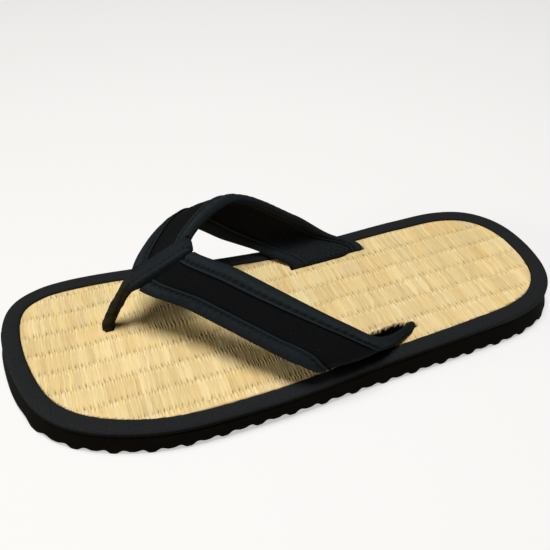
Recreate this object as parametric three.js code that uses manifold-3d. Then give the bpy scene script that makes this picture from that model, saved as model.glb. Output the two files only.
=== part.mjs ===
// Bamboo slipper, left foot: a thong sandal with a woven rush footbed.
// Millimetres, +Z up. The toe points along -X, the medial (big toe) side is +Y, and the
// tread stands on Z = 0. The origin lies under the middle of the sole's length and width.

import * as THREE from 'three';
import Module from 'manifold-3d';
import { mergeVertices } from 'three/addons/utils/BufferGeometryUtils.js';

const wasm = await Module();
wasm.setup();

// ---------- driving dimensions ----------

const gap = 0.3; // clearance between pieces that touch

// Outline of the woven mat: one row for each crosswise section, from toe to heel.
// along runs from the middle of the length, lateral and medial from the centre line.
const matToe = { along: -130.4, across: 26.6 };
const matSections = [
  { along: -127, lateral: -2.1, medial: 39.6 },
  { along: -118, lateral: -24.5, medial: 46.0 },
  { along: -104, lateral: -37.1, medial: 48.8 },
  { along: -74, lateral: -47.6, medial: 47.9 },
  { along: -28, lateral: -48.0, medial: 42.3 },
  { along: 26, lateral: -42.4, medial: 38.5 },
  { along: 78, lateral: -37.7, medial: 40.2 },
  { along: 104, lateral: -34.0, medial: 39.8 },
  { along: 118, lateral: -28.0, medial: 34.4 },
  { along: 127, lateral: -17.4, medial: 22.6 },
];
const matHeel = { along: 130.4, across: 1.3 };
const outlineSteps = 112;

// Height of the mat above the floor: level under the ball, wedged up to the heel.
const ballHeight = 13.0;
const heelWedge = 3.8;
const wedgeStart = -40;
const toeLift = 0.7;
const toeLiftStart = -95;
const soleEnd = 139;

// Edge binding: a cloth-covered rim that frames the mat.
const rimWidth = 7.7;
const rimEndWidening = 1.0;
const rimCrown = 1.0;
const rimDepth = 3.0;

const matThickness = 3.0;

// Outsole with crosswise ripples: trapezoid ridges under the whole length.
const outsoleInset = 0.6;
// The wall's outline grows by these shares from under the rim to the floor.
const soleFlare = { along: 0.024, across: 0.013 };
const ripplePitch = 7.8;
const rippleStart = -1.6; // along of one full crest
const minorCrestLift = 0.9; // every second crest stops this far off the floor
const rippleDepth = 1.8;
const crestFlat = 2.6;
const valleyFlat = 1.2;
const treadEndLift = 0.4;
const treadEndLength = 14;
const archLift = 1.6; // the waist of the tread stands this far off the floor
const archMiddle = -28;
const archReach = 62;

// Thong: the post stands between the first two toes, and the straps are measured from its
// foot. along runs back over the foot, out to either side, up from the mat.
const postFoot = { along: -89.5, across: 14.5 };
const strapTurn = THREE.MathUtils.degToRad(-6.6);
const postPath = [
  { along: 0.2, out: 0.8, up: -2.8 },
  { along: 0.9, out: 0.7, up: 2 },
  { along: 4.8, out: 0.2, up: 11 },
  { along: 9.8, out: 0, up: 19.5 },
  { along: 13.8, out: 0, up: 26 },
];
const postThickness = { foot: 5.4, middle: 5.2, top: 6.4 };
const postFlattening = 0.88;

// The strap's two long edges, a row for each fold, from the centre seam down to the slit,
// and how far the cloth bows out between them.
const strapCentre = { frontAlong: 15.5, frontUp: 27, rearAlong: 43.6, rearUp: 44.6 };
const lateralStrap = [
  { frontAlong: 40.1, frontOut: 19, frontUp: 21.9, rearAlong: 63.8, rearOut: 18.8, rearUp: 42, bow: 1.5 },
  { frontAlong: 69.5, frontOut: 45, frontUp: 17.3, rearAlong: 105.9, rearOut: 43.8, rearUp: 24.5, bow: 3 },
  { frontAlong: 82.5, frontOut: 54.4, frontUp: 14.2, rearAlong: 124.6, rearOut: 46.4, rearUp: 12.8, bow: 4 },
  { frontAlong: 89.2, frontOut: 53, frontUp: 8.4, rearAlong: 144, rearOut: 32.6, rearUp: 3.2, bow: 4.5 },
  { frontAlong: 93.5, frontOut: 43.3, frontUp: 0.2, rearAlong: 147, rearOut: 29, rearUp: 0.2, bow: 2.6 },
  { frontAlong: 93.5, frontOut: 42.9, frontUp: -2.8, rearAlong: 147, rearOut: 28.6, rearUp: -2.8, bow: 2.6 },
];
const medialStrap = [
  { frontAlong: 36.5, frontOut: 31, frontUp: 35, rearAlong: 70.5, rearOut: 30, rearUp: 46.2, bow: 3.8 },
  { frontAlong: 64, frontOut: 41, frontUp: 13.5, rearAlong: 103, rearOut: 37.5, rearUp: 24, bow: 3.5 },
  { frontAlong: 82, frontOut: 37.8, frontUp: 4.6, rearAlong: 121, rearOut: 39.6, rearUp: 8.6, bow: 2 },
  { frontAlong: 94.5, frontOut: 28.5, frontUp: 2.4, rearAlong: 137, rearOut: 35.6, rearUp: 2.2, bow: 0.5 },
  { frontAlong: 98, frontOut: 26, frontUp: 0.2, rearAlong: 139, rearOut: 34, rearUp: 0.2, bow: 0 },
  { frontAlong: 98, frontOut: 25.6, frontUp: -2.8, rearAlong: 139, rearOut: 33.6, rearUp: -2.8, bow: 0 },
];

// The cloth lies flat under the seam band and bows out between its edges from there on.
const bowStart = { from: 0.013, to: 0.07 };

const strapStations = 104;
const panelThickness = 1.8;
const tapeThickness = 0.7;
const frontTapeWidth = 8.8;
const rearTapeWidth = 7.5;
const feltFolds = { front: 17, rear: 14.5 };
const seamBandWidth = 11;
const seamBandThickness = 1.7;
const seamBandNose = 4.5;

// ---------- materials ----------

const cloth = (color) => new THREE.MeshStandardMaterial({ color, roughness: 0.92, metalness: 0 });
const evaFoam = new THREE.MeshStandardMaterial({ color: 0x15140f, roughness: 0.7, metalness: 0 });
const rushMat = new THREE.MeshStandardMaterial({ color: 0xdcc082, roughness: 0.6, metalness: 0 });
const rimCloth = cloth(0x1f2226);
const feltBlack = cloth(0x17181a);
const tapeNavy = cloth(0x1d252e);

// ---------- small helpers ----------

const { smoothstep, lerp } = THREE.MathUtils;

// Height of the mat's top above the floor at a distance along the sole.
function matHeight(along) {
  const wedge = heelWedge * smoothstep(along, wedgeStart, soleEnd);
  const lift = toeLift * smoothstep(-along, -toeLiftStart, soleEnd);
  return ballHeight + wedge + lift;
}

function smoothCurve(points, closed = false) {
  return new THREE.CatmullRomCurve3(points, closed);
}

// Mat outline as evenly stepped points, anticlockwise seen from above.
function matOutline() {
  const lateral = matSections.map((row) => new THREE.Vector3(row.along, row.lateral, 0));
  const medial = matSections.map((row) => new THREE.Vector3(row.along, row.medial, 0)).reverse();
  const toe = new THREE.Vector3(matToe.along, matToe.across, 0);
  const heel = new THREE.Vector3(matHeel.along, matHeel.across, 0);
  return smoothCurve([toe, ...lateral, heel, ...medial], true).getSpacedPoints(outlineSteps).slice(0, -1);
}

const outline = matOutline();
const outwards = outline.map((point, i) => {
  const before = outline[(i + outline.length - 1) % outline.length];
  const after = outline[(i + 1) % outline.length];
  return new THREE.Vector3(after.y - before.y, before.x - after.x, 0).normalize();
});

// The rim grows a little wider around the toe and the heel.
function rimReach(along) {
  return rimWidth + rimEndWidening * Math.pow(Math.abs(along) / matHeel.along, 4);
}

// Outline pushed outwards by a share of the rim's width plus a plain distance.
function offsetOutline(share, distance = 0) {
  return outline.map((point, i) => {
    const reach = share * rimReach(point.x) + distance;
    return point.clone().addScaledVector(outwards[i], reach);
  });
}

// Closed body swept through rings of points: capped at both ends, or joined into a loop.
function ringBody(rings, loop = false) {
  const size = rings[0].length;
  const positions = rings.flat().flatMap((point) => [point.x, point.y, point.z]);
  const index = [];
  const spans = loop ? rings.length : rings.length - 1;
  for (let i = 0; i < spans; i++) {
    const here = i * size;
    const next = ((i + 1) % rings.length) * size;
    for (let j = 0; j < size; j++) {
      const k = (j + 1) % size;
      index.push(here + j, here + k, next + k, here + j, next + k, next + j);
    }
  }
  if (!loop) {
    index.push(...ringCap(rings[0], 0, false));
    index.push(...ringCap(rings.at(-1), (rings.length - 1) * size, true));
  }
  if (signedVolume(positions, index) < 0) index.reverse();
  const geometry = new THREE.BufferGeometry();
  geometry.setAttribute('position', new THREE.Float32BufferAttribute(positions, 3));
  geometry.setIndex(index);
  return geometry;
}

// Six times the volume inside a closed skin: negative where its faces point inwards.
function signedVolume(positions, index) {
  const corner = (i) => new THREE.Vector3().fromArray(positions, 3 * index[i]);
  let sum = 0;
  for (let i = 0; i < index.length; i += 3) {
    sum += corner(i).dot(corner(i + 1).cross(corner(i + 2)));
  }
  return sum;
}

// Triangles that close a ring, worked out in the ring's own plane.
function ringCap(ring, start, last) {
  const normal = new THREE.Vector3();
  ring.forEach((point, i) => {
    normal.add(new THREE.Vector3().crossVectors(point, ring[(i + 1) % ring.length]));
  });
  normal.normalize();
  const turn = new THREE.Quaternion().setFromUnitVectors(normal, new THREE.Vector3(0, 0, 1));
  const flat = ring.map((point) => {
    const turned = point.clone().applyQuaternion(turn);
    return new THREE.Vector2(turned.x, turned.y);
  });
  const faces = THREE.ShapeUtils.triangulateShape(flat, []);
  return faces.flatMap(([a, b, c]) => (last ? [start + a, start + b, start + c] : [start + a, start + c, start + b]));
}

function toSolid(geometry) {
  const bare = geometry.clone();
  bare.deleteAttribute('normal');
  bare.deleteAttribute('uv');
  const merged = mergeVertices(bare, 1e-4);
  return new wasm.Manifold(new wasm.Mesh({
    numProp: 3,
    vertProperties: new Float32Array(merged.attributes.position.array),
    triVerts: new Uint32Array(merged.index.array),
  }));
}

function toGeometry(solid) {
  const mesh = solid.getMesh();
  const geometry = new THREE.BufferGeometry();
  geometry.setAttribute('position', new THREE.BufferAttribute(mesh.vertProperties, 3));
  geometry.setIndex(new THREE.BufferAttribute(mesh.triVerts, 1));
  geometry.computeVertexNormals();
  return geometry;
}

// Upright prism over an outline of points.
function prism(points, bottom, top) {
  const shape = new THREE.Shape(points.map((point) => new THREE.Vector2(point.x, point.y)));
  const geometry = new THREE.ExtrudeGeometry(shape, { depth: top - bottom, bevelEnabled: false });
  return toSolid(geometry.translate(0, 0, bottom));
}

// A side profile of (along, height) points drawn out across the whole width.
function crosswise(profile) {
  const reach = 80;
  const shape = new THREE.Shape(profile.map(([along, height]) => new THREE.Vector2(along, height)));
  const geometry = new THREE.ExtrudeGeometry(shape, { depth: 2 * reach, bevelEnabled: false });
  return toSolid(geometry.rotateX(Math.PI / 2).translate(0, reach, 0));
}

// Points of the mat's height line, lowered by a depth, from toe to heel.
function heightLine(depth, reach, steps) {
  return Array.from({ length: steps + 1 }, (_, i) => {
    const along = lerp(-reach, reach, i / steps);
    return [along, matHeight(along) - depth];
  });
}

// ---------- sole ----------

// How far the tread is off the floor: at its two ends and in the hollow of the arch.
function treadLift(along) {
  const ends = treadEndLift * smoothstep(Math.abs(along), soleEnd - treadEndLength, soleEnd);
  const arch = archLift * (1 - smoothstep(Math.abs(along - archMiddle), 0, archReach));
  return ends + arch;
}

// Underside of the outsole: crosswise ridges whose full crests stand on Z = 0 at ball and heel.
function treadLine(reach) {
  const flank = (ripplePitch - crestFlat - valleyFlat) / 2;
  const count = Math.ceil(reach / ripplePitch);
  const line = [];
  for (let i = -count; i <= count; i++) {
    const middle = rippleStart + i * ripplePitch;
    const crest = i % 2 === 0 ? 0 : minorCrestLift;
    const corners = [
      [middle - crestFlat / 2 - flank, rippleDepth],
      [middle - crestFlat / 2, crest],
      [middle + crestFlat / 2, crest],
      [middle + crestFlat / 2 + flank, rippleDepth],
    ];
    for (const [along, height] of corners) {
      line.push([along, height + treadLift(along)]);
    }
  }
  return line;
}

function outsole() {
  const tread = treadLine(soleEnd + ripplePitch);
  const reach = tread.at(-1)[0];
  const top = heightLine(rimDepth + gap, reach, 20).reverse();
  const slab = crosswise([...tread, ...top]);
  const wallTop = ballHeight - rimDepth;
  const wall = prism(offsetOutline(1, -outsoleInset), -5, 40).warp((point) => {
    const lowered = 1 - point[2] / wallTop;
    point[0] *= 1 + soleFlare.along * lowered;
    point[1] *= 1 + soleFlare.across * lowered;
  });
  return toGeometry(wall.intersect(slab));
}

// Rounded section of the rim: share of the rim's width outwards, then height over the mat.
const rimSection = [
  { out: 0, up: -rimDepth },
  { out: 0.96, up: -rimDepth },
  { out: 1, up: -1.9 },
  { out: 0.99, up: -0.9 },
  { out: 0.93, up: 0 },
  { out: 0.8, up: 0.6 },
  { out: 0.5, up: rimCrown },
  { out: 0.14, up: 0.85 },
  { out: 0, up: 0.4 },
];

function edgeBinding() {
  const rings = outline.map((point, i) => rimSection.map(({ out, up }) => {
    const reach = gap / 2 + out * (rimReach(point.x) - gap / 2);
    const place = point.clone().addScaledVector(outwards[i], reach);
    return place.setZ(matHeight(point.x) + up);
  }));
  return ringBody(rings, true);
}

// ---------- strap surface ----------

// A place given from the post's foot, as a point of the part.
function strapPoint(along, out, up) {
  const x = postFoot.along + Math.cos(strapTurn) * along - Math.sin(strapTurn) * out;
  const y = postFoot.across + Math.sin(strapTurn) * along + Math.cos(strapTurn) * out;
  return new THREE.Vector3(x, y, matHeight(x) + up);
}

function strapEdge(edge) {
  const point = (row, side) => strapPoint(row[`${edge}Along`], side * row[`${edge}Out`], row[`${edge}Up`]);
  const centre = strapPoint(strapCentre[`${edge}Along`], 0, strapCentre[`${edge}Up`]);
  const lateral = lateralStrap.map((row) => point(row, -1)).reverse();
  const medial = medialStrap.map((row) => point(row, 1));
  return smoothCurve([...lateral, centre, ...medial]);
}

const frontEdge = strapEdge('front');
const rearEdge = strapEdge('rear');
const bows = [...lateralStrap.map((row) => row.bow).reverse(), 0, ...medialStrap.map((row) => row.bow)];
const bowCurve = smoothCurve(bows.map((bow, i) => new THREE.Vector3(bow, 10 * i, 0)));

// One crosswise line of the strap at a share of its way from the lateral to the medial slit,
// with the strap's own normal, which points up and away from the foot.
function strapLine(share) {
  const front = frontEdge.getPoint(share);
  const rear = rearEdge.getPoint(share);
  const width = front.distanceTo(rear);
  const across = rear.clone().sub(front).normalize();
  const step = 0.004;
  const normalAt = (curve) => {
    const ahead = curve.getPoint(Math.min(share + step, 1));
    const behind = curve.getPoint(Math.max(share - step, 0));
    return ahead.sub(behind).cross(across).negate().normalize();
  };
  const bow = bowCurve.getPoint(share).x * smoothstep(Math.abs(share - 0.5), bowStart.from, bowStart.to);
  return { front, across, width, bow, normals: [normalAt(frontEdge), normalAt(rearEdge)] };
}

// Ring of a section laid on one line of the strap. Each corner gives its distance from the
// front edge, or from the rear edge where rear is set, and its height off the middle surface,
// which bows out between the edges as a parabola.
function strapRing(share, corners) {
  const line = strapLine(share);
  return corners.map(({ front, rear, height }) => {
    const distance = rear === undefined ? front : line.width - rear;
    const blend = THREE.MathUtils.clamp(distance / line.width, 0, 1);
    const normal = line.normals[0].clone().lerp(line.normals[1], blend).normalize();
    const lift = height + line.bow * 4 * blend * (1 - blend);
    return line.front.clone().addScaledVector(line.across, distance).addScaledVector(normal, lift);
  });
}

// Body swept along the strap. Its rings stand at the strap's own even stations and at both
// of its ends, so that layers of the strap are faceted alike and nest without touching.
function strapBody(from, to, corners) {
  const even = Array.from({ length: strapStations + 1 }, (_, i) => i / strapStations);
  const spare = 0.2 / strapStations;
  const between = even.filter((share) => share > from + spare && share < to - spare);
  return ringBody([from, ...between, to].map((share) => strapRing(share, corners)));
}

// Share of the strap's way at which its edge is a distance out from the centre seam.
function shareAtOut(curve, side, out) {
  let near = 0.5;
  let far = side < 0 ? 0.36 : 0.64;
  for (let i = 0; i < 30; i++) {
    const middle = (near + far) / 2;
    const point = curve.getPoint(middle);
    const dx = point.x - postFoot.along;
    const dy = point.y - postFoot.across;
    const reached = side * (-Math.sin(strapTurn) * dx + Math.cos(strapTurn) * dy);
    if (reached < out) near = middle;
    else far = middle;
  }
  return near;
}

// The felt strap, whole from slit to slit, set back inside its tapes.
const panelInset = tapeThickness + 2 * gap;
const half = panelThickness / 2;
const panelSection = [
  { front: panelInset, height: -half },
  { front: panelInset, height: half },
  { front: frontTapeWidth, height: half },
  { front: feltFolds.front, height: half },
  { rear: feltFolds.rear, height: half },
  { rear: rearTapeWidth, height: half },
  { rear: panelInset, height: half },
  { rear: panelInset, height: -half },
  { rear: rearTapeWidth, height: -half },
  { rear: feltFolds.rear, height: -half },
  { front: feltFolds.front, height: -half },
  { front: frontTapeWidth, height: -half },
];

function strapPanel() {
  return strapBody(0, 1, panelSection);
}

// A tape folded in a U around one edge of the felt. Its corners run the same way round as
// the felt's, so that both layers' facets are split along the same diagonals.
function tapeSection(edge, width) {
  const inner = half + gap;
  const outer = inner + tapeThickness;
  const corners = [
    [width, inner],
    [tapeThickness, inner],
    [tapeThickness, -inner],
    [width, -inner],
    [width - 0.6, -outer],
    [1.1, -outer],
    [0.25, -0.62 * outer],
    [0, 0],
    [0.25, 0.62 * outer],
    [1.1, outer],
    [width - 0.6, outer],
  ];
  if (edge === 'front') corners.reverse();
  return corners.map(([distance, height]) => ({ [edge]: distance, height }));
}

function strapTape(edge, side) {
  const width = edge === 'front' ? frontTapeWidth : rearTapeWidth;
  const seam = shareAtOut(frontEdge, side, seamBandWidth / 2 + gap);
  const [from, to] = side < 0 ? [0, seam] : [seam, 1];
  return strapBody(from, to, tapeSection(edge, width));
}

// ---------- toe post and seam band ----------

// The band folds around the front of the centre seam and clamps it from above and below.
function seamBand() {
  const inner = half + gap;
  const outer = inner + seamBandThickness;
  const nose = seamBandNose;
  const clamp = [
    { rear: -gap, height: inner },
    { front: panelInset - gap, height: inner },
    { front: panelInset - gap, height: -inner },
    { rear: -gap, height: -inner },
    { rear: -gap, height: -outer },
    { front: 2, height: -outer },
    { front: -0.7 * nose, height: -0.85 * outer },
    { front: -nose, height: 0 },
    { front: -0.7 * nose, height: 0.85 * outer },
    { front: 2, height: outer },
    { rear: -gap, height: outer },
  ];
  const from = shareAtOut(frontEdge, -1, seamBandWidth / 2);
  const to = shareAtOut(frontEdge, 1, seamBandWidth / 2);
  return toSolid(strapBody(from, to, clamp));
}

// The post is the same cloth strip rolled tight, swept from under the mat to the band's nose.
function toePost() {
  const path = smoothCurve(postPath.map(({ along, out, up }) => strapPoint(along, out, up)));
  const sides = 14;
  const steps = 20;
  const rings = Array.from({ length: steps + 1 }, (_, i) => {
    const share = i / steps;
    const lower = lerp(postThickness.foot, postThickness.middle, smoothstep(share, 0, 0.5));
    const radius = lerp(lower, postThickness.top, smoothstep(share, 0.5, 1)) / 2;
    const forward = path.getTangent(share);
    const sideways = new THREE.Vector3(-Math.sin(strapTurn), Math.cos(strapTurn), 0);
    const upright = new THREE.Vector3().crossVectors(forward, sideways).normalize();
    return Array.from({ length: sides }, (unused, k) => {
      const angle = (2 * Math.PI * k) / sides;
      return path.getPoint(share)
        .addScaledVector(upright, postFlattening * radius * Math.cos(angle))
        .addScaledVector(sideways, radius * Math.sin(angle));
    });
  });
  return toSolid(ringBody(rings));
}

// ---------- mat with its slits and post hole ----------

// Slit that one end of the strap passes through: the strap's own form with clearance all
// round, drawn on down through the mat.
function slitCutter(end) {
  const reach = half + gap + tapeThickness + gap;
  const across = [
    { front: -gap },
    { front: frontTapeWidth },
    { front: feltFolds.front },
    { rear: feltFolds.rear },
    { rear: rearTapeWidth },
    { rear: -gap },
  ];
  const outside = across.map((corner) => ({ ...corner, height: reach }));
  const inside = across.map((corner) => ({ ...corner, height: -reach })).reverse();
  const section = [...outside, ...inside];
  const length = 0.16;
  const rings = Array.from({ length: 25 }, (_, i) => strapRing(Math.abs(end - (length * i) / 24), section));
  const below = rings[0].map((point) => point.clone().setZ(point.z - 4));
  return toSolid(ringBody([below, ...rings]));
}

function postHole() {
  const radius = postThickness.foot / 2 + gap;
  const geometry = new THREE.CylinderGeometry(radius, radius, 60, 24).rotateX(Math.PI / 2);
  const [below, above] = postPath;
  const foot = strapPoint((below.along + above.along) / 2, below.out, 0);
  return toSolid(geometry.translate(foot.x, foot.y, foot.z));
}

function wovenMat() {
  const reach = matHeel.along + 5;
  const top = heightLine(0, reach, 24).reverse();
  const bottom = heightLine(matThickness, reach, 24);
  const slab = crosswise([...bottom, ...top]);
  const solid = prism(offsetOutline(0, -gap / 2), -5, 40)
    .intersect(slab)
    .subtract(slitCutter(0))
    .subtract(slitCutter(1))
    .subtract(postHole());
  return toGeometry(solid);
}

// ---------- assembly ----------

const slipper = new THREE.Group();

function addPart(name, geometry, material) {
  const mesh = new THREE.Mesh(geometry, material);
  mesh.name = name;
  slipper.add(mesh);
}

addPart('outsole', outsole(), evaFoam);
addPart('edge_binding', edgeBinding(), rimCloth);
addPart('woven_mat_insole', wovenMat(), rushMat);
addPart('upper_strap', strapPanel(), feltBlack);
addPart('tape_lateral_front', strapTape('front', -1), tapeNavy);
addPart('tape_lateral_rear', strapTape('rear', -1), tapeNavy);
addPart('tape_medial_front', strapTape('front', 1), tapeNavy);
addPart('tape_medial_rear', strapTape('rear', 1), tapeNavy);
addPart('seam_band_and_toe_post', toGeometry(seamBand().add(toePost())), rimCloth);

export default slipper;
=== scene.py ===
"""Looks of the left bamboo slipper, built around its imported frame.

Lengths in this file are in millimetres until a mesh is made, and then in metres. The toe points
along -X, the medial (big toe) side is +Y, and the tread stands on Z = 0.
"""

import math

import bmesh
import bpy
import numpy as np
from mathutils import Matrix, Vector


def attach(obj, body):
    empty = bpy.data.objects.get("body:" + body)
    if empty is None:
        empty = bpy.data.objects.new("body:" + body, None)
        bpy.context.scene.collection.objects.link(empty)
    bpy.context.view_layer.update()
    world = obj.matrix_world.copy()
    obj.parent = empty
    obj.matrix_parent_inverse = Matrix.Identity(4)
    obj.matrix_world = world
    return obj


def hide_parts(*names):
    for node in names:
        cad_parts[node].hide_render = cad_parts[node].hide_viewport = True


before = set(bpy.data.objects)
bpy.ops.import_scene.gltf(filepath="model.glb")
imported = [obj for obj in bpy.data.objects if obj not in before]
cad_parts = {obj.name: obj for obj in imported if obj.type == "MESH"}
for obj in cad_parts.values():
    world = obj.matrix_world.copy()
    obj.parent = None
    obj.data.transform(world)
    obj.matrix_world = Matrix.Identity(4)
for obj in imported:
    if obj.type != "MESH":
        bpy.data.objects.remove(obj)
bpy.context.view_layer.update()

bl_info = {
    "name": "Bamboo slipper",
    "version": (1, 0, 0),
    "blender": (4, 5, 0),
    "location": "3D View > Sidebar > Slipper",
    "description": "Builds a thong slipper with a woven rush footbed",
    "category": "Add Mesh",
}

MM = 0.001
GAP = 0.3  # room between two pieces that meet
WANDER_TERMS = 5

# Outline of the woven mat, from toe to heel: distance along the sole, then its lateral and its
# medial edge.
MAT_TOE = (-130.4, 26.6)
MAT_SECTIONS = [
    (-127, -2.1, 39.6),
    (-118, -24.5, 46.0),
    (-104, -37.1, 48.8),
    (-74, -47.6, 47.9),
    (-28, -48.0, 42.3),
    (26, -42.4, 38.5),
    (78, -37.7, 40.2),
    (104, -34.0, 39.8),
    (118, -28.0, 34.4),
    (127, -17.4, 22.6),
]
MAT_HEEL = (130.4, 1.3)
HALF_MAT = 130.4

# Height of the mat's top over the floor.
BALL_HEIGHT = 13.0
HEEL_WEDGE = 3.8
WEDGE_START = -40
TOE_LIFT = 0.7
TOE_LIFT_START = 95
SOLE_END = 139

# The foam's outline grows by these shares, along and across, from under the rim to the floor.
SOLE_FLARE = np.array([0.024, 0.013])
# The foam's wall, upwards: share of its height, and how far it stands in from the outline.
FOAM_WALL = [
    (0.0, 0.35),
    (0.04, 0.08),
    (0.12, 0.0),
    (0.3, 0.05),
    (0.5, 0.12),
    (0.7, 0.1),
    (0.88, 0.02),
    (0.96, 0.06),
    (1.0, 0.3),
]

# Tread ripples.
RIPPLE_PITCH = 7.8
RIPPLE_START = -1.6  # place of one full crest
MINOR_CREST_LIFT = 0.9  # every second crest stops this far off the floor
RIPPLE_DEPTH = 1.8
TREAD_END_LIFT = 0.4
TREAD_END_LENGTH = 14
ARCH_LIFT = 1.6
ARCH_MIDDLE = -28
ARCH_REACH = 62

# Section of the rim, from its foot at the mat over the top to its foot outside: share of the
# rim's width, and height over the mat.
RIM_SECTION = [
    (0.0, -2.6),
    (0.0, -0.6),
    (0.012, 0.15),
    (0.05, 0.5),
    (0.11, 0.72),
    (0.2, 0.9),
    (0.32, 1.0),
    (0.46, 1.03),
    (0.6, 1.0),
    (0.73, 0.9),
    (0.84, 0.66),
    (0.92, 0.25),
    (0.97, -0.25),
    (1.0, -0.85),
    (1.0, -1.5),
    (0.985, -2.1),
    (0.94, -2.6),
    (0.86, -2.95),
    (0.5, -3.0),
]
RIM_SECTION_DEPTH = 3.0
RIM_END_GROWTH = 1.0

# The mat: its stems run across, turned by an angle, and rows of warp threads run along it.
STEM_TURN = 0.04
STEM_MARGIN = 8
# Across one stem: share of its width, and share of its height.
STEM_RIDGE = [(0.0, 0.0), (0.2, 0.75), (0.5, 1.0), (0.8, 0.75)]
ROW_ZERO = 49.3  # place of the first, most medial row
MAT_ROWS = 9
MAT_BANDS = 12
# Steps along a stem, from a lead before each row, for rows at the pitch below.
ROW_LEAD = 2.0
ROW_STEPS = [0, 0.5, 1.0, 1.5, 2.0, 2.6, 3.2, 4.0, 5.2, 6.8, 8.4, 9.8, 11.0, 12.0]
ROW_STEPS_PITCH = 13.0
MAT_THICKNESS = 3.0

# Thong, measured from the foot of its post: along, out to the side, up from the mat.
POST_FOOT = (-89.5, 14.5)
STRAP_TURN = math.radians(-6.6)
POST_PATH = [
    (0.2, 0.8, -2.8),
    (0.9, 0.7, 2),
    (4.8, 0.2, 11),
    (9.8, 0, 19.5),
]
# Centre seam: its front end along and up, then its rear end along and up.
STRAP_CENTRE = (15.5, 27, 43.6, 44.6)
# Each row: front edge along, out, up, then rear edge along, out, up, then the bow of the cloth.
LATERAL_STRAP = [
    (40.1, 19, 21.9, 63.8, 18.8, 42, 1.5),
    (69.5, 45, 17.3, 105.9, 43.8, 24.5, 3),
    (82.5, 54.4, 14.2, 124.6, 46.4, 12.8, 4),
    (89.2, 53, 8.4, 144, 32.6, 3.2, 4.5),
    (93.5, 43.3, 0.2, 147, 29, 0.2, 2.6),
    (93.5, 42.9, -2.8, 147, 28.6, -2.8, 2.6),
]
MEDIAL_STRAP = [
    (36.5, 31, 35, 70.5, 30, 46.2, 3.8),
    (64, 41, 13.5, 103, 37.5, 24, 3.5),
    (82, 37.8, 4.6, 121, 39.6, 8.6, 2),
    (94.5, 28.5, 2.4, 137, 35.6, 2.2, 0.5),
    (98, 26, 0.2, 139, 34, 0.2, 0),
    (98, 25.6, -2.8, 139, 33.6, -2.8, 0),
]
# Shares of the way from the centre seam between which the bow sets in.
FLAT_CENTRE = (0.013, 0.07)
NORMAL_STEP = 0.004  # share of the way on either side of a point that gives its normal
FELT_INSET = 1.3
FELT_WAY = 230  # rough length of the felt, for the scale of its unevenness

# Half the section of a tape, from inside along the felt, over the inner edge and round to the
# fold. Each row: 1 if its distance counts from the tape's inner edge and 0 if from the fold, the
# distance, and the heights off the felt's upper face and off its under face.
TAPE_SECTION = [
    (0, 0.75, -0.1, -0.1),
    (1, -2.0, 0.0, 0.0),
    (1, 0.0, 0.02, 0.02),
    (1, 0.1, 0.35, 0.3),
    (1, -0.15, 0.66, 0.6),
    (1, -0.55, 0.68, 0.6),
    (1, -0.95, 0.42, 0.4),
    (1, -1.4, 0.22, 0.2),
    (1, -1.8, 0.14, 0.12),
    (1, -2.2, 0.26, 0.2),
    (1, -2.8, 0.62, 0.52),
    (1, -3.6, 0.92, 0.78),
    (1, -4.6, 1.0, 0.85),
    (0, 1.5, 0.84, 0.75),
    (0, 0.85, 0.5, 0.45),
    (0, 0.3, -0.15, -0.15),
    (0, 0.02, -0.8, -0.8),
]
TAPE_EDGE_ROW = 2  # the row at the tape's inner edge
TAPE_TUCK = 0.4  # how far a tape reaches under the band
TAPE_STITCH_INSET = 1.8

BAND_STITCH_PITCH = 2.6
BAND_SEAM_INSET = 1.9

# Each light: name, place, aim, size, power and colour.
LIGHTS = [
    ("key_light", (-40, -60, 1180), (-10, 0, 20), 420, 13.5, (1.0, 0.985, 0.96)),
    ("low_light", (-1150, -150, 420), (0, 0, 0), 500, 5, (1.0, 0.97, 0.9)),
]
CAMERA = {
    "azimuth": -17.85,
    "elevation": 40.62,
    "roll": -0.09,
    "distance": 370.3,
    "aim": (0.3, 26.3, 14.2),
    "lens": 45.8,
    "shift": -0.0018,
}
FLOOR_REACH = 4  # in metres


# ---------- settings ----------


class SoleSettings(bpy.types.PropertyGroup):
    """Sizes of the sole, its rim and its mat, in millimetres."""

    rim_width: bpy.props.FloatProperty(
        name="Rim width", description="Width of the cloth-bound rim, in millimetres",
        default=7.7, min=3, max=15,
    )
    rim_crown: bpy.props.FloatProperty(
        name="Rim crown", description="Height of the rim over the mat, in millimetres",
        default=1.0, min=0, max=4,
    )
    rim_depth: bpy.props.FloatProperty(
        name="Rim depth", description="Depth of the rim below the mat's top, in millimetres",
        default=3.0, min=1, max=8,
    )
    stem_width: bpy.props.FloatProperty(
        name="Stem width", description="Mean width of a rush stem, in millimetres",
        default=1.5, min=0.6, max=4,
    )
    warp_pitch: bpy.props.FloatProperty(
        name="Warp pitch", description="Distance between two rows of warp threads, in millimetres",
        default=13.0, min=5, max=40,
    )
    foam_color: bpy.props.StringProperty(
        name="Foam colour", description="sRGB hex colour of the EVA foam", default="0C0A04"
    )
    rush_color: bpy.props.StringProperty(
        name="Rush colour", description="sRGB hex colour of the rush stems", default="E0C68C"
    )
    rim_color: bpy.props.StringProperty(
        name="Rim colour", description="sRGB hex colour of the rim's cloth", default="242628"
    )


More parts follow.
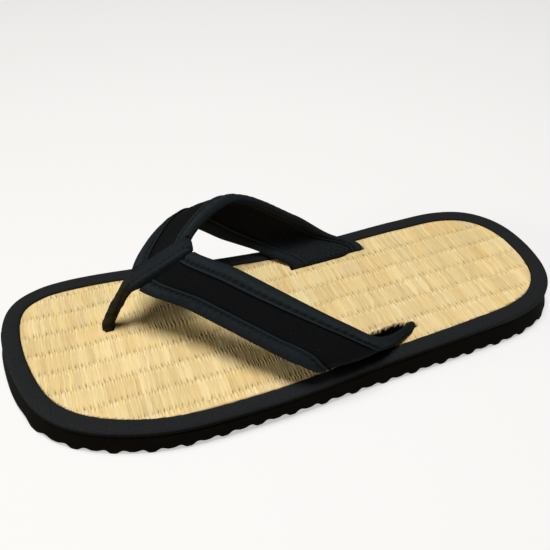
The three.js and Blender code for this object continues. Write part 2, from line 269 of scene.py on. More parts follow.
class StrapSettings(bpy.types.PropertyGroup):
    """Sizes of the strap and its trimmings, in millimetres."""

    felt_thickness: bpy.props.FloatProperty(
        name="Felt thickness", description="Thickness of the felt, in millimetres",
        default=1.8, min=0.5, max=4,
    )
    front_tape_width: bpy.props.FloatProperty(
        name="Front tape width", description="Visible width of the tape on the front edge, in millimetres",
        default=8.8, min=3, max=12,
    )
    rear_tape_width: bpy.props.FloatProperty(
        name="Rear tape width", description="Visible width of the tape on the rear edge, in millimetres",
        default=7.5, min=3, max=12,
    )
    stitch_pitch: bpy.props.FloatProperty(
        name="Stitch pitch", description="Distance between two stitches, in millimetres",
        default=2.9, min=1, max=8,
    )
    band_width: bpy.props.FloatProperty(
        name="Band width", description="Width of the band over the centre seam, in millimetres",
        default=11.0, min=5, max=20,
    )
    felt_color: bpy.props.StringProperty(
        name="Felt colour", description="sRGB hex colour of the felt", default="101113"
    )
    tape_color: bpy.props.StringProperty(
        name="Tape colour", description="sRGB hex colour of the cotton tape", default="171C1F"
    )
    band_color: bpy.props.StringProperty(
        name="Band colour", description="sRGB hex colour of the band and the post", default="171B1E"
    )


# ---------- numbers and curves ----------


def smoothstep(value, low, high):
    """Rises smoothly from 0 at low to 1 at high: 3t squared less 2t cubed."""
    t = np.clip((np.asarray(value, float) - low) / (high - low), 0, 1)
    return t * t * (3 - 2 * t)


def between(value, start, full, leave, end):
    """Rises smoothly from start to full, stays at 1, and falls smoothly from leave to end."""
    return smoothstep(value, start, full) * (1 - smoothstep(value, leave, end))


def bell(value, middle, width):
    """Bump of height 1 at its middle: e to the power of minus the squared distance in widths."""
    return np.exp(-(((value - middle) / width) ** 2))


def curve_through(points, steps, closed=False):
    """Centripetal Catmull-Rom curve: a cubic between each two points, whose tangents are worked
    out from the square roots of the distances to the points before and after."""
    p = np.asarray(points, float)
    before, after = (p[-1], p[:2]) if closed else (2 * p[0] - p[1], 2 * p[-1] - p[-2])
    p = np.vstack([before, p, after])
    spans = len(p) - 3
    place = np.linspace(0, spans, steps, endpoint=not closed)
    i = np.minimum(place.astype(int), spans - 1)
    t = (place - i)[:, None]
    a, b, c, d = (p[i + k] for k in range(4))

    def reach(start, end):
        return np.maximum(((start - end) ** 2).sum(1) ** 0.25, 1e-4)[:, None]

    g0, g1, g2 = reach(a, b), reach(b, c), reach(c, d)
    leave = ((b - a) / g0 - (c - a) / (g0 + g1) + (c - b) / g1) * g1
    arrive = ((c - b) / g1 - (d - b) / (g1 + g2) + (d - c) / g2) * g1
    square = -3 * b + 3 * c - 2 * leave - arrive
    cube = 2 * b - 2 * c + leave + arrive
    return b + leave * t + square * t**2 + cube * t**3


def wander(place, wavelength, seed):
    """Smooth random line about 0, about 1 high: a sum of sines whose wavelengths, near the given
    one, and phases come from the seed."""
    dice = np.random.default_rng(seed)
    place = np.asarray(place, float)
    total = np.zeros_like(place)
    for _ in range(WANDER_TERMS):
        wave = wavelength * dice.uniform(0.6, 1.7)
        total += np.sin(2 * np.pi * place / wave + dice.uniform(0, 6.28))
    return total / math.sqrt(WANDER_TERMS)


def unit(vectors):
    """Vectors of length 1 along the last axis."""
    return vectors / np.maximum(np.linalg.norm(vectors, axis=-1, keepdims=True), 1e-9)


def summed(steps):
    """Places reached from 0 by a row of steps."""
    return np.concatenate([[0], np.cumsum(steps)])


def way_along(line):
    """Distance of each point of a line from its first point, measured along the line."""
    return summed(np.linalg.norm(np.diff(line, axis=0), axis=1))


def read_along(way, line, spots):
    """Points of a line at given distances along it."""
    return np.stack([np.interp(spots, way, line[:, k]) for k in range(line.shape[1])], axis=-1)


# ---------- sole shape ----------


def mat_height(along):
    """Height of the mat's top: level under the ball, a smooth wedge to the heel, a lift at the toe."""
    wedge = HEEL_WEDGE * smoothstep(along, WEDGE_START, SOLE_END)
    lift = TOE_LIFT * smoothstep(-np.asarray(along, float), TOE_LIFT_START, SOLE_END)
    return BALL_HEIGHT + wedge + lift


def tread_height(along):
    """Underside: a wave whose crests are flat and whose valleys are round, every second crest
    shorter than the rest, lifted in the arch and at both ends."""
    along = np.asarray(along, float)
    turn = (along - RIPPLE_START) / RIPPLE_PITCH
    from_crest = np.abs(turn - np.round(turn)) * 2
    crest = MINOR_CREST_LIFT * (np.round(turn) % 2)
    ripple = crest + (RIPPLE_DEPTH - crest) * smoothstep(from_crest, 0.2, 0.95)
    ends = TREAD_END_LIFT * smoothstep(np.abs(along), SOLE_END - TREAD_END_LENGTH, SOLE_END)
    arch = ARCH_LIFT * (1 - smoothstep(np.abs(along - ARCH_MIDDLE), 0, ARCH_REACH))
    return ripple + ends + arch


def mat_outline(steps=2400):
    """Closed curve through the outline's points, evenly stepped, with its outward directions."""
    lateral = [(along, low) for along, low, high in MAT_SECTIONS]
    medial = [(along, high) for along, low, high in reversed(MAT_SECTIONS)]
    dense = curve_through([MAT_TOE, *lateral, MAT_HEEL, *medial], 12000, closed=True)
    ring = np.vstack([dense, dense[:1]])
    way = way_along(ring)
    points = read_along(way, ring, np.linspace(0, way[-1], steps, endpoint=False))
    ahead = np.roll(points, -6, axis=0) - np.roll(points, 6, axis=0)
    outwards = unit(np.stack([ahead[:, 1], -ahead[:, 0]], axis=1))
    return points, outwards


OUTLINE, OUTWARDS = mat_outline()


def rim_reach(along, width):
    """Width of the rim: it grows towards the toe and the heel with the fourth power of the way."""
    return width + RIM_END_GROWTH * (np.abs(along) / HALF_MAT) ** 4


def offset_outline(distance):
    """Outline pushed outwards by a distance, which may differ from point to point."""
    return OUTLINE + OUTWARDS * np.broadcast_to(distance, len(OUTLINE))[:, None]


def both_edges(points, stations):
    """Where lines across the length cut a closed outline: the low and high crossing for each
    station, read off the outline's two sides from its first point to its last."""
    first, last = np.argmin(points[:, 0]), np.argmax(points[:, 0])
    ring = np.roll(points, -first, axis=0)
    turn = (last - first) % len(points)
    one = ring[: turn + 1]
    other = np.vstack([ring[turn:], ring[:1]])[::-1]
    low, high = sorted((one, other), key=lambda side: side[:, 1].mean())
    return np.interp(stations, low[:, 0], low[:, 1]), np.interp(stations, high[:, 0], high[:, 1])


# ---------- strap shape ----------


def strap_point(along, out, up):
    """A place given from the post's foot, turned with the strap, over the mat's own height."""
    along, out = np.asarray(along, float), np.asarray(out, float)
    x = POST_FOOT[0] + math.cos(STRAP_TURN) * along - math.sin(STRAP_TURN) * out
    y = POST_FOOT[1] + math.sin(STRAP_TURN) * along + math.cos(STRAP_TURN) * out
    return np.stack([x, y, mat_height(x) + up], axis=-1)


def strap_edges(steps=6001):
    """Front and rear edge curves of the strap, from the lateral slit to the medial one."""
    edges = []
    for k, centre in ((0, STRAP_CENTRE[:2]), (3, STRAP_CENTRE[2:])):
        lateral = [strap_point(row[k], -row[k + 1], row[k + 2]) for row in reversed(LATERAL_STRAP)]
        medial = [strap_point(row[k], row[k + 1], row[k + 2]) for row in MEDIAL_STRAP]
        middle = strap_point(centre[0], 0, centre[1])
        edges.append(curve_through([*lateral, middle, *medial], steps))
    return edges


def strap_bow(steps=6001):
    """How far the cloth bows out between its two edges, for even shares of the strap's way. It is
    flat under the band."""
    bows = [row[6] for row in reversed(LATERAL_STRAP)] + [0] + [row[6] for row in MEDIAL_STRAP]
    bow = curve_through([(value, 10 * k) for k, value in enumerate(bows)], steps)[:, 0]
    return bow * smoothstep(np.abs(np.linspace(-0.5, 0.5, steps)), *FLAT_CENTRE)


FRONT_EDGE, REAR_EDGE = strap_edges()
BOW = strap_bow()


def strap_lines(share):
    """Lines across the strap: front point, direction across, width, and the normals at both edges."""
    place = np.asarray(share, float) * (len(FRONT_EDGE) - 1)
    step = NORMAL_STEP * (len(FRONT_EDGE) - 1)

    def at(edge, where):
        return read_along(np.arange(len(edge)), edge, np.clip(where, 0, len(edge) - 1))

    front, rear = at(FRONT_EDGE, place), at(REAR_EDGE, place)
    width = np.linalg.norm(rear - front, axis=-1)
    across = unit(rear - front)
    normals = [
        unit(-np.cross(at(edge, place + step) - at(edge, place - step), across))
        for edge in (FRONT_EDGE, REAR_EDGE)
    ]
    return front, across, width, normals


def strap_place(share, distance, height):
    """Points on the strap for arrays of share along it, distance from the front edge and height
    off the middle surface. The normal is blended between both edges, and the cloth bows out by a
    parabola between them."""
    front, across, width, (near, far) = strap_lines(share)
    blend = np.clip(distance / width, 0, 1)
    normal = unit(near * (1 - blend[..., None]) + far * blend[..., None])
    bow = np.interp(share, np.linspace(0, 1, len(BOW)), BOW) * 4 * blend * (1 - blend)
    return front + across * distance[..., None] + normal * (height + bow)[..., None]


def share_at_out(edge, out):
    """Share of the strap's way at which an edge is a signed distance out from the centre seam."""
    sideways = np.array([-math.sin(STRAP_TURN), math.cos(STRAP_TURN)])
    reached = (edge[:, :2] - np.array(POST_FOOT)) @ sideways
    middle = len(edge) // 2
    span = slice(middle - len(edge) // 7, middle + len(edge) // 7)
    return np.interp(out, reached[span], np.linspace(0, 1, len(edge))[span])


# ---------- meshes ----------


def surface(name, points, uv=None, attributes=None, ends=True, merge=False):
    """Mesh through a grid of points, rows along the piece and columns round it, or through many
    such grids. The last column joins the first, and ends closes the first and the last row with a
    face each. uv holds two distances in millimetres for each corner, and has one column more than
    the points."""
    number = np.arange(math.prod(points.shape[:-1])).reshape(points.shape[:-1])
    turned = np.roll(number, -1, axis=-1)
    corners = [number[..., :-1, :], number[..., 1:, :], turned[..., 1:, :], turned[..., :-1, :]]
    faces = np.stack(corners, axis=-1).reshape(-1, 4).tolist()
    if ends:
        faces += [number[0].tolist(), number[-1][::-1].tolist()]
    mesh = bpy.data.meshes.new(name)
    mesh.from_pydata((points.reshape(-1, 3) * MM).tolist(), [], faces)
    if uv is not None:
        laid = np.stack([uv[:-1, :-1], uv[1:, :-1], uv[1:, 1:], uv[:-1, 1:]], axis=2).reshape(-1, 2)
        full = np.zeros((len(mesh.loops), 2), np.float32)
        full[: len(laid)] = laid
        mesh.uv_layers.new(name="Flat").data.foreach_set("uv", full.ravel())
    for key, values in (attributes or {}).items():
        layer = mesh.attributes.new(key, "FLOAT", "POINT")
        layer.data.foreach_set("value", values.astype(np.float32).ravel())
    settle(mesh, merge)
    return mesh


def settle(mesh, merge):
    """Merges coinciding points if asked, turns the faces outwards and shades them smooth."""
    work = bmesh.new()
    work.from_mesh(mesh)
    if merge:
        bmesh.ops.remove_doubles(work, verts=work.verts, dist=2e-6)
    if work.calc_volume(signed=True) < 0:
        bmesh.ops.reverse_faces(work, faces=work.faces)
    work.to_mesh(mesh)
    work.free()
    mesh.shade_smooth()


def flat_uv(points):
    """Distances along and round a grid of points, in millimetres, measured on the surface and
    averaged so that rows and columns stay straight."""
    closed = np.concatenate([points, points[:, :1]], axis=1)
    along = np.linalg.norm(np.diff(points, axis=0), axis=2).mean(1)
    round_it = np.linalg.norm(np.diff(closed, axis=1), axis=2).mean(0)
    return np.stack(np.meshgrid(summed(along), summed(round_it), indexing="ij"), axis=-1)


def add_piece(name, mesh, material, replaces=()):
    """Puts a mesh in the scene as a piece that rides on the part's only body."""
    mesh.materials.append(material)
    piece = bpy.data.objects.new(name, mesh)
    bpy.context.scene.collection.objects.link(piece)
    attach(piece, "root")
    if replaces:
        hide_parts(*replaces)
    return piece


# ---------- materials ----------


def linear(hex_color):
    """Linear colour of an sRGB hex value."""
    parts = [int(hex_color[k : k + 2], 16) / 255 for k in (0, 2, 4)]
    return (*[c / 12.92 if c <= 0.04045 else ((c + 0.055) / 1.055) ** 2.4 for c in parts], 1.0)


def shade(hex_color, factor):
    """The linear colour made lighter or darker by a factor."""
    return (*[min(1.0, c * factor) for c in linear(hex_color)[:3]], 1.0)


def add_node(tree, kind, inputs=None, **settings):
    """Adds a node. settings are its properties, and inputs its sockets by name or number, each
    with a value or with the socket that feeds it."""
    node = tree.nodes.new(kind)
    for key, value in settings.items():
        setattr(node, key, value)
    for key, value in (inputs or {}).items():
        if isinstance(value, bpy.types.NodeSocket):
            tree.links.new(value, node.inputs[key])
        else:
            node.inputs[key].default_value = value
    return node


def new_material(name, **shader):
    """A material with one Principled shader, whose inputs are given by name, and its tree."""
    material = bpy.data.materials.new(name)
    material.use_nodes = True
    tree = material.node_tree
    tree.nodes.clear()
    values = {key.replace("_", " "): value for key, value in shader.items()}
    bsdf = add_node(tree, "ShaderNodeBsdfPrincipled", values)
    add_node(tree, "ShaderNodeOutputMaterial", {"Surface": bsdf.outputs["BSDF"]})
    return material, tree, bsdf


def scaled_uv(tree, along, around):
    """Socket of the piece's flat coordinates, divided by two sizes in millimetres."""
    flat = add_node(tree, "ShaderNodeUVMap", uv_map="Flat").outputs["UV"]
    sizes = {"Vector": flat, "Scale": (1 / along, 1 / around, 1)}
    return add_node(tree, "ShaderNodeMapping", sizes).outputs["Vector"]


def object_place(tree):
    """Socket of the place on the object, in metres."""
    return add_node(tree, "ShaderNodeTexCoord").outputs["Object"]


def mark(tree, name):
    """Socket of a value that the mesh carries at its points."""
    return add_node(tree, "ShaderNodeAttribute", attribute_name=name).outputs["Fac"]


def noise(tree, vector, scale, detail=2.0, roughness=0.5):
    """Socket of a cloudy pattern from 0 to 1. detail adds finer layers, each fainter by roughness."""
    look = {"Vector": vector, "Scale": scale, "Detail": detail, "Roughness": roughness}
    return add_node(tree, "ShaderNodeTexNoise", look).outputs[0]


def stretch(tree, value, low, high):
    """Socket that is 0 where the value is low, 1 where it is high, and even between."""
    span = {"Value": value, "From Min": low, "From Max": high}
    return add_node(tree, "ShaderNodeMapRange", span).outputs[0]


def combine(tree, operation, first, second):
    """Socket with two numbers added or multiplied."""
    return add_node(tree, "ShaderNodeMath", {0: first, 1: second}, operation=operation).outputs[0]


def mix(tree, share, first, second, **settings):
    """Socket that goes from a first colour to a second one by a share. Each is a value or a socket."""
    node = add_node(tree, "ShaderNodeMix", {0: share, 6: first, 7: second}, data_type="RGBA", **settings)
    return node.outputs[2]


def coat(tree, bsdf, color, relief=None, strength=0.0, depth=0.0):
    """Feeds a colour to the shader, and a relief that dents its shading to a depth in millimetres."""
    tree.links.new(color, bsdf.inputs["Base Color"])
    if relief is not None:
        dents = {"Strength": strength, "Distance": depth * MM, "Height": relief}
        bump = add_node(tree, "ShaderNodeBump", dents)
        tree.links.new(bump.outputs["Normal"], bsdf.inputs["Normal"])


def eva_foam(color):
    """EVA foam, moulded and cut: a matt, faintly mottled brown-black with fine closed pores."""
    material, tree, bsdf = new_material("eva_foam", Roughness=0.8, Specular_IOR_Level=0.03)
    place = object_place(tree)
    clouds = noise(tree, place, 160.0, 4.0, 0.6)
    tone = mix(tree, clouds, shade(color, 0.2), shade(color, 1.2))
    coat(tree, bsdf, tone, relief=noise(tree, place, 1600.0), strength=0.35, depth=0.2)
    return material


def woven_cotton(name, color, thread, slub, lift, sheen):
    """Cotton cloth, plain woven: thread is the spacing to show and slub the length of its thick
    places, in millimetres. It gives a matt surface with a fine grid and soft light flecks. Marks on
    the mesh darken it in a seam as painted shade (and at tack stitches), make it paler as a
    painted highlight with some mottled wear, browner as a painted reflection of the straw, and
    brown-black as painted shade under an edge."""
    material, tree, bsdf = new_material(
        name,
        Roughness=0.9,
        Specular_IOR_Level=0.06,
        Sheen_Weight=sheen,
        Sheen_Roughness=0.5,
        Sheen_Tint=shade(color, 6.0),
    )
    wave = {"Vector": scaled_uv(tree, thread, thread), "Scale": 0.5, "Distortion": 1.5, "Detail": 1.0}
    warp, weft = (
        add_node(tree, "ShaderNodeTexWave", wave, bands_direction=direction).outputs["Fac"]
        for direction in ("X", "Y")
    )
    threads = combine(tree, "MULTIPLY", warp, weft)
    flecks = noise(tree, scaled_uv(tree, slub, slub * 0.35), 1.0, 5.0, 0.65)
    spread = stretch(tree, flecks, 0.32, 0.7)
    woven = add_node(tree, "ShaderNodeMix", {0: 0.25, 2: spread, 3: threads}, data_type="FLOAT").outputs[0]
    tone = mix(tree, woven, shade(color, 0.6), shade(color, lift))
    # Painted highlight, with some mottled wear: paler where its mark is high.
    highlighted = mix(tree, mark(tree, "highlight_and_wear"), tone, shade(color, 1.45 * lift))
    # Painted reflection of the straw: browner where its mark is high.
    straw_tinted = mix(tree, woven, linear("1A160B"), linear("3B3422"))
    with_straw_reflection = mix(tree, mark(tree, "straw_reflection"), highlighted, straw_tinted)
    # Painted shade in the seams and where a tape meets the felt, and two dark tack stitches: darker where
    # the seam mark is high.
    seam_shaded = mix(tree, mark(tree, "seam"), with_straw_reflection, shade(color, 0.08))
    # Painted shade under an edge: brown-black where its mark is high.
    shaded_under = mix(tree, mark(tree, "under_shade"), seam_shaded, linear("060502"))
    coat(tree, bsdf, shaded_under, relief=combine(tree, "ADD", threads, spread), strength=0.5, depth=0.25)
    return material


def black_felt(color):
    """Wool felt, needled: near-black and dull, with fine pale lint, and greyer and grainier on its
    reverse, as far as the reverse mark lets it; that mark also holds painted shade."""
    material, tree, bsdf = new_material(
        "needled_felt", Roughness=0.96, Specular_IOR_Level=0.03, Sheen_Weight=0.015, Sheen_Roughness=0.6
    )
    place = scaled_uv(tree, 1.0, 1.0)
    nap = noise(tree, place, 1.4, 6.0, 0.75)
    lint = add_node(tree, "ShaderNodeTexVoronoi", {"Vector": place, "Scale": 0.55, "Randomness": 1.0})
    speck = stretch(tree, lint.outputs["Distance"], 0.16, 0.05)
    base = mix(tree, nap, shade(color, 0.35), shade(color, 1.15))
    grain = stretch(tree, nap, 0.42, 0.62)
    grey = mix(tree, grain, shade(color, 0.15), shade("2E3338", 0.95))
    # Painted shade: where the reverse mark is low, the reverse keeps the dark face colour.
    sided = mix(tree, mark(tree, "reverse"), base, grey)
    linted = mix(tree, speck, sided, shade(color, 3.5))
    coat(tree, bsdf, linted, relief=nap, strength=0.6, depth=0.3)
    return material


def woven_rush(color):
    """Dried rush, split and woven: pale straw stems with a low sheen, each group of its own tone,
    some more orange and some greyer, with fine fibres along them and painted shade in the dark
    slits where warp threads part them. The pits round the strap and the post are painted black as
    shade and have no sheen."""
    material, tree, bsdf = new_material("dried_rush", Roughness=0.6)
    tone = mark(tree, "tone")
    fibres = noise(tree, scaled_uv(tree, 0.55, 11.0), 1.0, 5.0, 0.65)
    streak = stretch(tree, fibres, 0.3, 0.7)
    drift = noise(tree, scaled_uv(tree, 38.0, 38.0), 1.0)
    # The tone mark also holds a painted highlight on the bumps by the warp rows and painted shade between
    # the stems.
    cool = mix(tree, tone, shade("CFB988", 0.9), shade("F3E2B4", 1.1))
    warm = mix(tree, tone, shade("D6B577", 0.92), shade("F2DCA2", 1.1))
    stems = mix(tree, mark(tree, "warmth"), cool, warm)
    fibred = mix(tree, streak, shade(color, 0.72), shade(color, 1.3))
    mixed = mix(tree, 0.42, stems, fibred)
    clouded = mix(tree, drift, (0.9, 0.9, 0.88, 1), (1.08, 1.08, 1.1, 1))
    shaded = mix(tree, 1.0, mixed, clouded, blend_type="MULTIPLY")
    # Painted shade: the slit mark darkens the slits and the mat's edge to brown, and the pit mark paints
    # the openings round the strap and the post black, without gloss.
    pit_shade = mark(tree, "pit_shade")
    dark = mix(tree, mark(tree, "slit"), shaded, linear("44341A"))
    black = mix(tree, pit_shade, dark, linear("060401"))
    gloss = add_node(tree, "ShaderNodeMapRange", {"Value": pit_shade, "To Min": 0.3, "To Max": 0.0})
    tree.links.new(gloss.outputs[0], bsdf.inputs["Specular IOR Level"])
    coat(tree, bsdf, black, relief=fibres, strength=0.3, depth=0.2)
    return material


def plain_thread(name, color):
    """Polyester sewing thread, twisted: dark with a slight gloss."""
    material, tree, bsdf = new_material(name, Roughness=0.6, Specular_IOR_Level=0.3)
    twist = noise(tree, object_place(tree), 2500.0, 1.0)
    coat(tree, bsdf, mix(tree, twist, shade(color, 0.6), shade(color, 1.6)))
    return material


def light_table(color):
    """Frosted acrylic light table under the slipper: it glows evenly, so shadows on it stay pale."""
    material, tree, bsdf = new_material(
        "frosted_acrylic",
        Roughness=0.9,
        Specular_IOR_Level=0.1,
        Emission_Color=linear("FFFFFF"),
        Emission_Strength=0.5,
    )
    mottle = noise(tree, object_place(tree), 3.0)
    coat(tree, bsdf, mix(tree, mottle, shade(color, 0.98), linear(color)))
    return material


# ---------- sole pieces ----------


def outsole_mesh(sole):
    """Foam slab: for each station along the sole, a ring that goes across the tread, up the medial
    side, back across the top and down the lateral side. The ends shrink to a line, and the whole
    outline grows in proportion towards the floor."""
    wall = offset_outline(rim_reach(OUTLINE[:, 0], sole.rim_width) - 0.5)
    toe, heel = wall[:, 0].min(), wall[:, 0].max()
    turn = np.linspace(0, math.pi, 260)
    crowded = (toe + heel) / 2 - (heel - toe) / 2 * np.cos(turn)
    stations = np.unique(np.round(np.concatenate([crowded, np.arange(-137.5, 137.6, 0.625)]), 3))
    low, high = both_edges(wall, stations)
    middle = ((low + high) / 2)[:, None]
    levels, inset = np.array(FOAM_WALL).T
    squeeze = np.maximum(((high - low) / 2)[:, None] - inset, 0)
    bottom = tread_height(stations)[:, None]
    top = (mat_height(stations) - sole.rim_depth - 0.1)[:, None]
    rise = bottom + (top - bottom) * levels
    share = np.linspace(-1, 1, 13)[1:-1]

    def run(out, height):
        """Part of every ring, from its distances off the middle and its heights."""
        return np.stack(np.broadcast_arrays(stations[:, None], middle + out, height), axis=-1)

    under, over = run(share * squeeze[:, :1], bottom), run(-share * squeeze[:, -1:], top)
    medial, lateral = run(squeeze, rise), run(-squeeze, rise)[:, ::-1]
    rings = np.concatenate([under, medial, over, lateral], axis=1)
    lowered = 1 - rings[..., 2:] / (BALL_HEIGHT - sole.rim_depth)
    rings[..., :2] *= 1 + SOLE_FLARE * lowered
    return surface("outsole_foam", rings, ends=False, merge=True)


def rim_mesh(sole):
    """Cloth rim: a rounded section carried round the mat's outline, drawn down and puckered along
    its inner edge by a pull that fades outwards. Its lower edge, where it turns under, is darkened
    brown-black as painted shade, less so at the heel."""
    share, up = np.array(RIM_SECTION).T
    up = np.where(up > 0, up * sole.rim_crown, up * sole.rim_depth / RIM_SECTION_DEPTH)
    along = OUTLINE[:, :1]
    way = (np.arange(len(OUTLINE)) * np.linalg.norm(OUTLINE[1] - OUTLINE[0]))[:, None]
    width = rim_reach(along, sole.rim_width) + 0.12 * wander(way, 60, 6)
    uneven = 0.08 * wander(way, 7.3, 8) * (share < 0.06)
    out = GAP / 2 + share * (width - GAP / 2) + uneven
    pucker = (0.05 * wander(way, 5.1, 3) + 0.03 * wander(way, 2.3, 4)) * bell(share, 0.08, 0.16)
    drape = 0.12 * wander(way, 17, 5) * np.sin(np.pi * share) ** 2 * (up > -0.5)
    height = mat_height(along) + up + pucker + drape
    flat = OUTLINE[:, None] + OUTWARDS[:, None] * out[..., None]
    rings = np.concatenate([flat, height[..., None]], axis=2)
    # Painted shade: the rim's lower edge, where it turns under, goes brown-black, fading out towards the
    # heel.
    under_shade = smoothstep(-up, 0.1, 0.9) * (share > 0.9) * (1 - smoothstep(along, 60, 105))
    rings, under_shade = (np.concatenate([grid, grid[:1]]) for grid in (rings, under_shade))
    marks = {"under_shade": under_shade}
    return surface("rim_cloth", rings, uv=flat_uv(rings), attributes=marks, ends=False, merge=True)


def stem_lines(sole):
    """Edges of the stems along the length: each stem has its own width."""
    dice = np.random.default_rng(5)
    widths = sole.stem_width * np.clip(1 + 0.24 * dice.standard_normal(260), 0.55, 1.6)
    edges = -HALF_MAT - STEM_MARGIN + summed(widths)
    return edges[edges < HALF_MAT + STEM_MARGIN]


def stem_groups(stems):
    """Sorts the stems of each band into groups of a few that lie and shine alike. Gives each
    stem's group tone, group tilt and group warmth, and its place in the group, by stem and band."""
    dice = np.random.default_rng(19)
    starts = dice.uniform(size=(stems, MAT_BANDS)) < 0.38
    number = np.cumsum(starts, axis=0)
    groups = number.max() + 1
    column = np.arange(MAT_BANDS)[None]
    tone, tilt, warmth = (dice.uniform(0, 1, (groups, MAT_BANDS))[number, column] for _ in range(3))
    order = np.arange(stems)[:, None]
    first = np.maximum.accumulate(np.where(starts, order, 0), axis=0)
    return tone, tilt, warmth, np.clip((order - first) / 3.0, 0, 1.5)


def mat_mesh(sole):
    """Woven mat: for each line along the stems, a ring over the top from edge to edge and back
    underneath. Each stem is a low round ridge, pinched and parted where the warp rows cross it,
    and between two rows the stems lie in groups that swell and tilt together. Lines are laid in a
    frame turned with the stems, and points past the outline stop on it."""
    edges = stem_lines(sole)
    parts, ridge = np.array(STEM_RIDGE).T
    across_stem = (edges[:-1, None] + (edges[1:] - edges[:-1])[:, None] * parts).ravel()
    stem = np.repeat(np.arange(len(edges) - 1), len(parts))
    profile = np.tile(ridge, len(edges) - 1)
    cos, sin = math.cos(STEM_TURN), math.sin(STEM_TURN)
    inner = offset_outline(-GAP / 2)
    turned = inner @ np.array([(cos, -sin), (sin, cos)])
    tips = np.array([turned[:, 0].min(), turned[:, 0].max()])
    inside = (across_stem > tips[0] + 0.02) & (across_stem < tips[1] - 0.02)
    across_stem, stem, profile = (values[inside] for values in (across_stem, stem, profile))
    across_stem = np.concatenate([tips[:1], across_stem, tips[1:]])
    stem = np.concatenate([stem[:1], stem, stem[-1:]])[:, None]
    profile = np.concatenate([[0], profile, [0]])[:, None]
    low, high = (edge[:, None] for edge in both_edges(turned, across_stem))

    pitch = sole.warp_pitch
    rows = ROW_ZERO - pitch * np.arange(MAT_ROWS)
    steps = np.array(ROW_STEPS) * pitch / ROW_STEPS_PITCH
    along = np.unique(np.concatenate([row - ROW_LEAD + steps for row in rows]))
    along = along[(along > turned[:, 1].min() - 1) & (along < turned[:, 1].max() + 1)]
    held = np.clip(along[None], low, high)
    from_edge = np.minimum(held - low, high - held)

    drift = 0.25 * wander(across_stem, 40, 23)[:, None]
    from_first = (ROW_ZERO - held + drift) / pitch
    band = np.clip(np.ceil(from_first).astype(int) + 1, 0, MAT_BANDS - 1)
    nearest = np.round(from_first)
    off_row = (nearest - from_first) * pitch
    swell = np.cos(np.pi * off_row / pitch) ** 2

    stems = stem.max() + 1
    tone, tilt, warmth, place = (values[stem, band] for values in stem_groups(stems))
    dice = np.random.default_rng(11)
    own, round_ridge = (dice.uniform(least, 1, (stems, MAT_BANDS))[stem, band] for least in (0, 0.25))
    strength = dice.uniform(0.45, 1.0, (stems, MAT_BANDS))[stem, nearest.astype(int) + 1]

    border = np.where(profile == 0, 1.0, np.where(profile < 1, 0.3, 0.0))
    upper, lower = bell(off_row, 0.9, 1.2), 0.55 * bell(off_row, -1.0, 1.0)
    parted = np.where(stem % 2 == 0, upper, lower) * border * strength
    bound = bell(off_row, -1.5, 1.1) * (1 - border) * strength

    height = 0.24 * profile * round_ridge * (0.28 + 0.72 * swell) + 0.22 * bound - 0.3 * parted
    height = height + (0.2 * tone + 0.3 * (tilt - 0.5) * (place - 0.5)) * (1 - swell) - 0.12 * swell
    height = height * smoothstep(from_edge, 0, 1.2) - 0.2 * (1 - smoothstep(from_edge, 0, 0.8))

    to_tip = np.minimum(across_stem - tips[0], tips[1] - across_stem)[:, None]
    sway = 0.2 * wander(held + 3 * own, 9, 21) + 0.12 * wander(held, 4, 22)
    s = across_stem[:, None] + sway * smoothstep(from_edge, 0, 2) * smoothstep(to_tip, 0, 6)
    x, y = s * cos - held * sin, s * sin + held * cos
    pit = slit_pits(x, y)
    over = np.stack([x, y, mat_height(x) - 0.2 + height - 2.4 * pit], axis=-1)
    under = over[:, [-1, 0]]
    under[..., 2] = mat_height(under[..., 0]) - MAT_THICKNESS
    rings = np.concatenate([over, under], axis=1)

    # Painted light in the tone: the bumps beside each warp row are lightened as a painted highlight, and
    # the grooves between the stems are darkened as painted shade, most near the rows.
    between_stems = (profile == 0) * (0.3 + 0.7 * swell)
    light = 0.48 * tone + 0.46 * own + 0.6 * bound - 0.2 * between_stems
    # Painted shade: the slit mark darkens the parted slits and the mat's outermost edge against the rim;
    # the pit mark blackens the openings round the strap and the post.
    marks = {
        "tone": np.clip(light, 0, 1),
        "warmth": warmth,
        "slit": np.clip(0.95 * parted + 0.45 * (from_edge < 0.02), 0, 1),
        "pit_shade": smoothstep(pit, 0.02, 0.35),
    }
    zeros = np.zeros((len(over), 2))
    marks = {key: np.concatenate([values, zeros], axis=1) for key, values in marks.items()}
    u = np.concatenate([s, s[:, -1:], s[:, :1], s[:, :1]], axis=1)
    first, last = held[:, :1], held[:, -1:]
    v = np.concatenate([held, last + MAT_THICKNESS, first - MAT_THICKNESS, first], axis=1)
    uv = np.stack([u, v], axis=-1)
    return surface("woven_mat", rings, uv=uv, attributes=marks, ends=False, merge=True)


